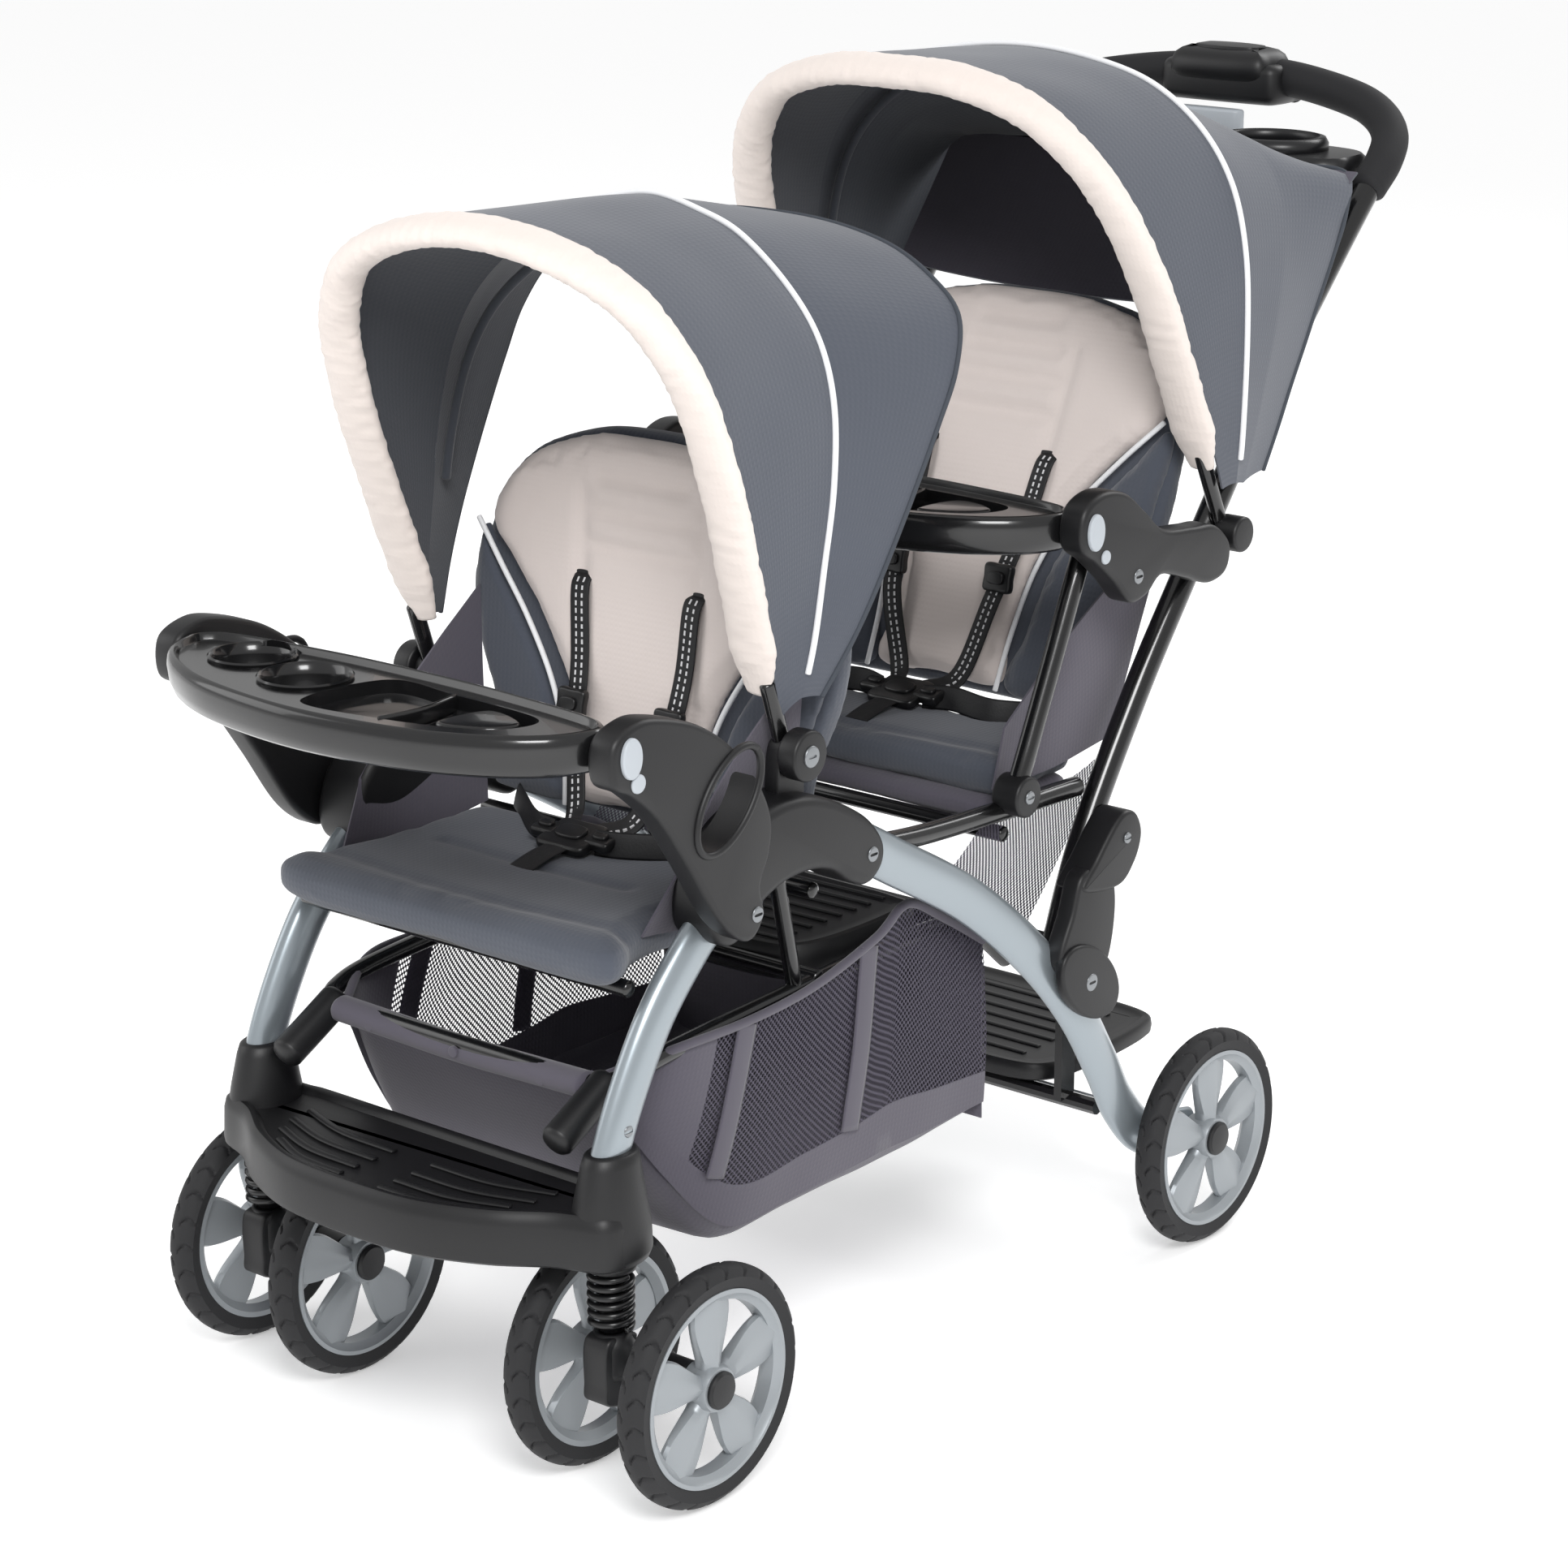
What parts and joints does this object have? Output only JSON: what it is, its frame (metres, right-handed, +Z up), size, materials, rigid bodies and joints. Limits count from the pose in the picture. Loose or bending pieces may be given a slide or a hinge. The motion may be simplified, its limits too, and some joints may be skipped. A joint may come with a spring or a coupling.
{
  "type": "tandem sit and stand stroller",
  "caption": "Tandem stroller with a sprung twin-wheel caster front, curved oval-tube frame, sunshades, trays, storage basket and a standing platform.",
  "frame": {"origin": "on the ground, under the middle of the whole object", "axes": "+Z up; the stroller faces -Y; +X is to the seated riders' left"},
  "size_m": [0.545, 1.292, 1.0676],
  "materials": {
    "silver_paint": "satin",
    "black_tube": "gloss",
    "spring_steel": "gloss",
    "black_plastic": "matte",
    "gloss_black": "gloss",
    "wheel_silver": "satin",
    "tyre_rubber": "matte",
    "grip_foam": "matte",
    "grey_button": "satin",
    "canopy_fabric": "woven",
    "beige_fabric": "woven",
    "seat_fabric": "woven",
    "basket_fabric": "mesh"
  },
  "bodies": {
    "frame": {"front_leg_left": "silver_paint", "rear_leg_left": "silver_paint", "side_bracket_left": "black_plastic", "tray_arm_left": "black_plastic", "fold_cover_left": "black_plastic", "rear_tray_arm_left": "black_plastic", "rear_post_left": "black_tube", "front_leg_right": "silver_paint", "rear_leg_right": "silver_paint", "side_bracket_right": "black_plastic", "tray_arm_right": "black_plastic", "fold_cover_right": "black_plastic", "rear_tray_arm_right": "black_plastic", "rear_post_right": "black_tube", "footrest": "black_plastic", "basket_rail": "black_tube", "rear_axle": "black_tube", "standing_platform": "black_plastic", "platform_frame": "black_tube", "bench_seat": "black_plastic", "front_seat_pad": "seat_fabric", "basket": "basket_fabric", "front_canopy_cloth": "canopy_fabric", "push_bar": "black_tube", "handle_grip": "grip_foam", "console": "black_plastic", "parent_tray": "black_plastic", "rear_seat_pad": "seat_fabric", "rear_canopy_cloth": "canopy_fabric"},
    "caster_swivel_left": {"caster_stem_left": "black_plastic", "caster_spring_left": "spring_steel"},
    "caster_fork_left": {"caster_fork_left": "black_plastic"},
    "front_outer_wheel_left": {"front_outer_wheel_left_rim": "wheel_silver", "front_outer_wheel_left_tyre": "tyre_rubber"},
    "front_inner_wheel_left": {"front_inner_wheel_left_rim": "wheel_silver", "front_inner_wheel_left_tyre": "tyre_rubber"},
    "rear_wheel_left": {"rear_wheel_left_rim": "wheel_silver", "rear_wheel_left_tyre": "tyre_rubber"},
    "front_tray_button_left": {"front_tray_button_left": "grey_button"},
    "rear_tray_button_left": {"rear_tray_button_left": "grey_button"},
    "caster_swivel_right": {"caster_stem_right": "black_plastic", "caster_spring_right": "spring_steel"},
    "caster_fork_right": {"caster_fork_right": "black_plastic"},
    "front_outer_wheel_right": {"front_outer_wheel_right_rim": "wheel_silver", "front_outer_wheel_right_tyre": "tyre_rubber"},
    "front_inner_wheel_right": {"front_inner_wheel_right_rim": "wheel_silver", "front_inner_wheel_right_tyre": "tyre_rubber"},
    "rear_wheel_right": {"rear_wheel_right_rim": "wheel_silver", "rear_wheel_right_tyre": "tyre_rubber"},
    "front_tray_button_right": {"front_tray_button_right": "grey_button"},
    "rear_tray_button_right": {"rear_tray_button_right": "grey_button"},
    "brake_bar": {"brake_bar": "grey_button"},
    "front_tray": {"front_tray": "gloss_black"},
    "rear_tray": {"rear_tray": "gloss_black"},
    "front_seat_back": {"front_seat_back": "seat_fabric"},
    "rear_seat_back": {"rear_seat_back": "seat_fabric"},
    "front_canopy_bow": {"front_canopy_bow": "beige_fabric"},
    "rear_canopy_bow": {"rear_canopy_bow": "beige_fabric"},
    "parent_tray_lid": {"parent_tray_lid": "black_plastic"},
    "fold_release": {"fold_release": "grey_button"}
  },
  "joints": [
    {"name": "caster_swivel_left", "type": "hinge", "parent": "frame", "child": "caster_swivel_left", "pos_m": [0.194, -0.5, 0.2], "axis": [0, 0, 1], "continuous": true},
    {"name": "suspension_left", "type": "slide", "parent": "caster_swivel_left", "child": "caster_fork_left", "axis": [0, 0, 1], "range_m": [0, 0.005], "stiffness_N_per_m": 9000, "springref_m": -0.009, "deforming": ["caster_spring_left"]},
    {"name": "front_outer_wheel_left_spin", "type": "hinge", "parent": "caster_fork_left", "child": "front_outer_wheel_left", "pos_m": [0.254, -0.454, 0.1], "axis": [1, 0, 0], "continuous": true},
    {"name": "front_inner_wheel_left_spin", "type": "hinge", "parent": "caster_fork_left", "child": "front_inner_wheel_left", "pos_m": [0.134, -0.454, 0.1], "axis": [1, 0, 0], "continuous": true},
    {"name": "rear_wheel_left_spin", "type": "hinge", "parent": "frame", "child": "rear_wheel_left", "pos_m": [0.255, 0.242, 0.1], "axis": [1, 0, 0], "continuous": true},
    {"name": "front_tray_button_left_press", "type": "slide", "parent": "frame", "child": "front_tray_button_left", "axis": [-1, 0, 0], "range_m": [0, 0.003], "stiffness_N_per_m": 400},
    {"name": "rear_tray_button_left_press", "type": "slide", "parent": "frame", "child": "rear_tray_button_left", "axis": [-1, 0, 0], "range_m": [0, 0.003], "stiffness_N_per_m": 400},
    {"name": "caster_swivel_right", "type": "hinge", "parent": "frame", "child": "caster_swivel_right", "pos_m": [-0.194, -0.5, 0.2], "axis": [0, 0, 1], "continuous": true},
    {"name": "suspension_right", "type": "slide", "parent": "caster_swivel_right", "child": "caster_fork_right", "axis": [0, 0, 1], "range_m": [0, 0.005], "stiffness_N_per_m": 9000, "springref_m": -0.009, "deforming": ["caster_spring_right"]},
    {"name": "front_outer_wheel_right_spin", "type": "hinge", "parent": "caster_fork_right", "child": "front_outer_wheel_right", "pos_m": [-0.254, -0.454, 0.1], "axis": [1, 0, 0], "continuous": true},
    {"name": "front_inner_wheel_right_spin", "type": "hinge", "parent": "caster_fork_right", "child": "front_inner_wheel_right", "pos_m": [-0.134, -0.454, 0.1], "axis": [1, 0, 0], "continuous": true},
    {"name": "rear_wheel_right_spin", "type": "hinge", "parent": "frame", "child": "rear_wheel_right", "pos_m": [-0.255, 0.242, 0.1], "axis": [1, 0, 0], "continuous": true},
    {"name": "front_tray_button_right_press", "type": "slide", "parent": "frame", "child": "front_tray_button_right", "axis": [1, 0, 0], "range_m": [0, 0.003], "stiffness_N_per_m": 400},
    {"name": "rear_tray_button_right_press", "type": "slide", "parent": "frame", "child": "rear_tray_button_right", "axis": [1, 0, 0], "range_m": [0, 0.003], "stiffness_N_per_m": 400},
    {"name": "brake_press", "type": "hinge", "parent": "frame", "child": "brake_bar", "pos_m": [0, 0.222, 0.112], "axis": [1, 0, 0], "range_deg": [-12, 0]},
    {"name": "front_tray_tilt", "type": "hinge", "parent": "frame", "child": "front_tray", "pos_m": [0, -0.534, 0.63], "axis": [1, 0, 0], "range_deg": [0, 70]},
    {"name": "rear_tray_tilt", "type": "hinge", "parent": "frame", "child": "rear_tray", "pos_m": [0, 0.052, 0.696], "axis": [1, 0, 0], "range_deg": [0, 70]},
    {"name": "front_seat_recline", "type": "hinge", "parent": "frame", "child": "front_seat_back", "pos_m": [0, -0.216, 0.458], "axis": [1, 0, 0], "range_deg": [-15, 0]},
    {"name": "rear_seat_recline", "type": "hinge", "parent": "frame", "child": "rear_seat_back", "pos_m": [0, 0.188, 0.486], "axis": [1, 0, 0], "range_deg": [-20, 0]},
    {"name": "front_canopy_fold", "type": "hinge", "parent": "frame", "child": "front_canopy_bow", "pos_m": [0, -0.29, 0.572], "axis": [1, 0, 0], "range_deg": [-25, 0]},
    {"name": "rear_canopy_fold", "type": "hinge", "parent": "frame", "child": "rear_canopy_bow", "pos_m": [0, 0.286, 0.652], "axis": [1, 0, 0], "range_deg": [-20, 0]},
    {"name": "parent_tray_lid_open", "type": "hinge", "parent": "frame", "child": "parent_tray_lid", "pos_m": [0, 0.57, 0.958], "axis": [1, 0, 0], "range_deg": [-80, 0]},
    {"name": "fold_release_lift", "type": "slide", "parent": "frame", "child": "fold_release", "axis": [0, 0, 1], "range_m": [0, 0.004], "stiffness_N_per_m": 300}
  ]
}
